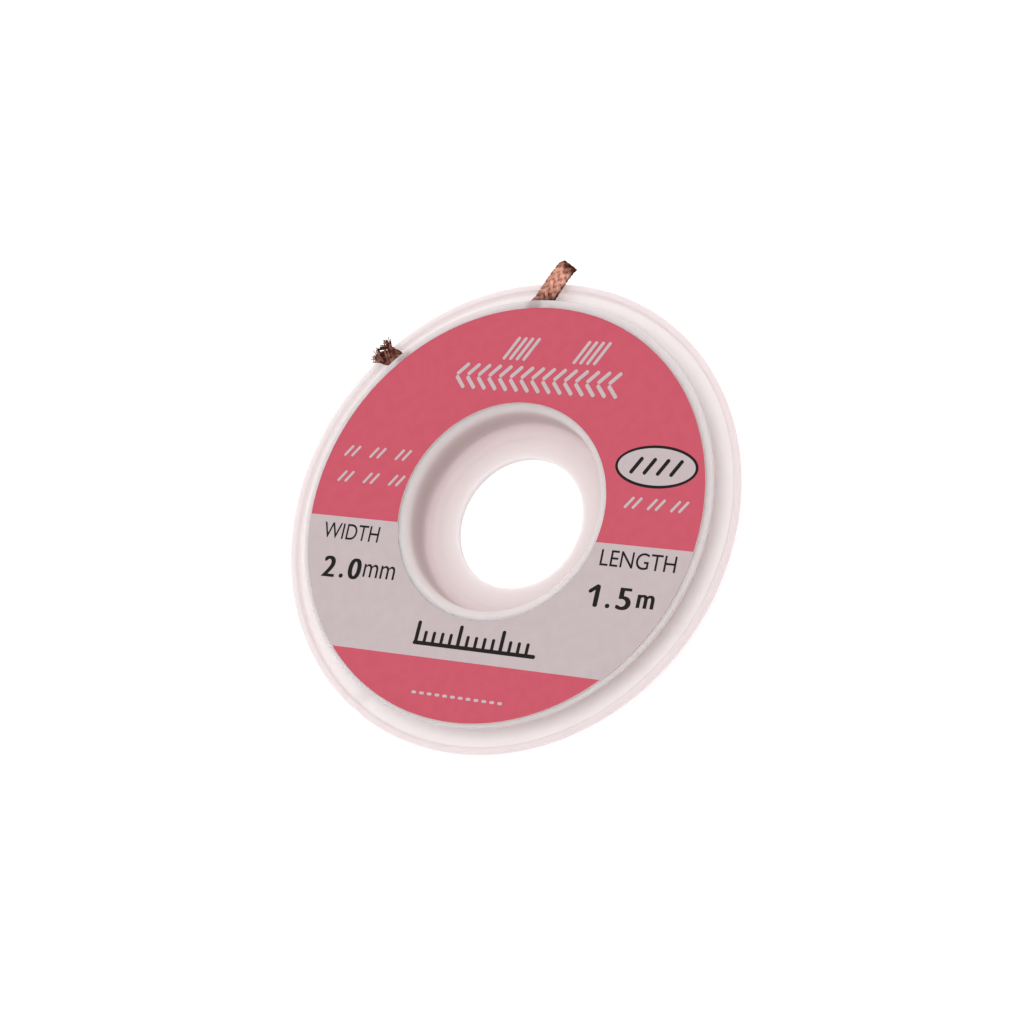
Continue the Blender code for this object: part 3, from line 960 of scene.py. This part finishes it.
class SPOOL_OT_fray_end(Operator):
    """Weave the other end of the braid, whose wires have come loose"""
    bl_idname = "braid_spool.fray_end"
    bl_label = "Weave Frayed End"

    def execute(self, context):
        braid = context.scene.braid_sizes
        route = EndRoute(context.scene.spool_sizes, braid, coil_angle=radians(92.5), side=1,
                         slot_angle=radians(110.6), heading=radians(137), free_length=3.3 * MM,
                         tip_rise=0.75 * MM, tip_roll=radians(-10))
        # In millimetres: how far each wire leans sideways and up, and how far past the route it
        # ends, which is below 0. The outer wires lean furthest and stop soonest
        chance = Random(7)
        loose = {}
        for side in (1, -1):
            for bundle in range(braid.bundles):
                lean = (chance.uniform(-0.3, 0.3), chance.uniform(-0.2, 0.35))
                edge = stadium(bundle / braid.bundles + side * route.length / braid.lay, 1.0, 0.2)[0]
                outer = max(0.0, -edge - 0.1)
                short = 1.7 * outer * chance.uniform(0.5, 1.0) + 0.3 * max(0.0, edge)
                for wire in range(braid.wires):
                    loose[side, bundle, wire] = (
                        lean[0] - 0.9 * outer + 0.15 * edge + chance.uniform(-0.15, 0.15),
                        lean[1] + 0.3 * outer + chance.uniform(-0.15, 0.15),
                        -short - 0.5 + chance.uniform(-0.3, 0.15))

        def reach(side, bundle, wire):
            return route.length + loose[side, bundle, wire][2] * MM

        def drift(side, bundle, wire, along):
            lean = loose[side, bundle, wire]
            past = max(0.0, 1 - (reach(side, bundle, wire) - along) / (1.7 * MM))
            return lean[0] * past ** 1.6 * MM, lean[1] * past ** 2 * MM, 0.0

        def spread(along):
            return 1.0 + 0.15 * max(0.0, min(1.0, (along - route.slot_length) / (2.0 * MM)))

        def darkness(along, radius):
            return 0.62

        weave_end("frayed_end", route, braid, reach, drift, spread, darkness,
                  drawn_copper_wire(context.scene.finish_colours))
        return {"FINISHED"}


# Stage

VIEW_AZIMUTH = 34.9
VIEW_ELEVATION = 56.73
VIEW_ROLL = 52.27
VIEW_DISTANCE = 268.1 * MM
VIEW_SIDESTEP = (1.25 * MM, -0.16 * MM)
VIEW_LENS = 91.16
AIR_STRENGTH = 0.745


class SPOOL_OT_set_stage(Operator):
    """Lay the pale floor, and set the soft light and the camera"""
    bl_idname = "braid_spool.set_stage"
    bl_label = "Set Stage"

    def execute(self, context):
        deselect_everything()
        bpy.ops.mesh.primitive_grid_add(x_subdivisions=8, y_subdivisions=8, size=4.0)
        floor = bpy.context.object
        floor.name = "studio_floor"
        floor.data.materials.append(studio_floor(context.scene.finish_colours))
        world = bpy.data.worlds.new("studio_air")
        world.use_nodes = True
        air = world.node_tree.nodes["Background"].inputs
        air["Color"].default_value = (1, 1, 1, 1)
        air["Strength"].default_value = AIR_STRENGTH
        context.scene.world = world
        # Keeps the white background white and the red clear, as in the photo
        context.scene.view_settings.view_transform = "Standard"
        bpy.ops.object.light_add(type="AREA", location=(0, 0, 0.6))
        softbox = bpy.context.object
        softbox.name = "overhead_softbox"
        softbox.data.shape = "DISK"
        softbox.data.size = 1.6
        softbox.data.energy = 4.2
        azimuth, elevation, roll = radians(VIEW_AZIMUTH), radians(VIEW_ELEVATION), radians(VIEW_ROLL)
        back = Vector((sin(azimuth) * cos(elevation), -cos(azimuth) * cos(elevation), sin(elevation)))
        level = Vector((cos(azimuth), sin(azimuth), 0))
        upward = back.cross(level)
        right = level * cos(roll) - upward * sin(roll)
        up = level * sin(roll) + upward * cos(roll)
        target = label_place(context.scene.label_sizes, 0, 0)
        turn = Matrix((right, up, back)).transposed()
        place = target + back * VIEW_DISTANCE + right * VIEW_SIDESTEP[0] + up * VIEW_SIDESTEP[1]
        bpy.ops.object.camera_add(location=place)
        camera = bpy.context.object
        camera.name = "photo_camera"
        camera.rotation_euler = turn.to_euler()
        camera.data.lens = VIEW_LENS
        camera.data.sensor_width = 36.0
        camera.data.clip_start = 0.01
        camera.data.clip_end = 20.0
        context.scene.camera = camera
        return {"FINISHED"}


STEPS = (SPOOL_OT_mould_spool, SPOOL_OT_stick_label, SPOOL_OT_print_label, SPOOL_OT_wind_braid,
         SPOOL_OT_cut_end, SPOOL_OT_fray_end, SPOOL_OT_set_stage)
GROUPS = {"spool_sizes": SpoolSizes, "label_sizes": LabelSizes, "braid_sizes": BraidSizes,
          "finish_colours": FinishColours}


class VIEW3D_PT_braid_spool(Panel):
    """Lists the steps that make the spool"""
    bl_label = "Braid Spool"
    bl_space_type = "VIEW_3D"
    bl_region_type = "UI"
    bl_category = "Braid Spool"

    def draw(self, context):
        for step in STEPS:
            self.layout.operator(step.bl_idname)
        for name in GROUPS:
            box = self.layout.box()
            group = getattr(context.scene, name)
            for value in group.bl_rna.properties:
                if value.identifier not in ("rna_type", "name"):
                    box.prop(group, value.identifier)


def register():
    for group in GROUPS.values():
        bpy.utils.register_class(group)
    for name, group in GROUPS.items():
        setattr(bpy.types.Scene, name, PointerProperty(type=group))
    for step in STEPS:
        bpy.utils.register_class(step)
    bpy.utils.register_class(VIEW3D_PT_braid_spool)


def unregister():
    bpy.utils.unregister_class(VIEW3D_PT_braid_spool)
    for step in reversed(STEPS):
        bpy.utils.unregister_class(step)
    for name in GROUPS:
        delattr(bpy.types.Scene, name)
    for group in GROUPS.values():
        bpy.utils.unregister_class(group)


def main():
    register()
    bpy.ops.braid_spool.mould_spool()
    bpy.ops.braid_spool.stick_label()
    bpy.ops.braid_spool.print_label()
    bpy.ops.braid_spool.wind_braid()
    bpy.ops.braid_spool.cut_end()
    bpy.ops.braid_spool.fray_end()
    bpy.ops.braid_spool.set_stage()


if __name__ == "__main__":
    main()
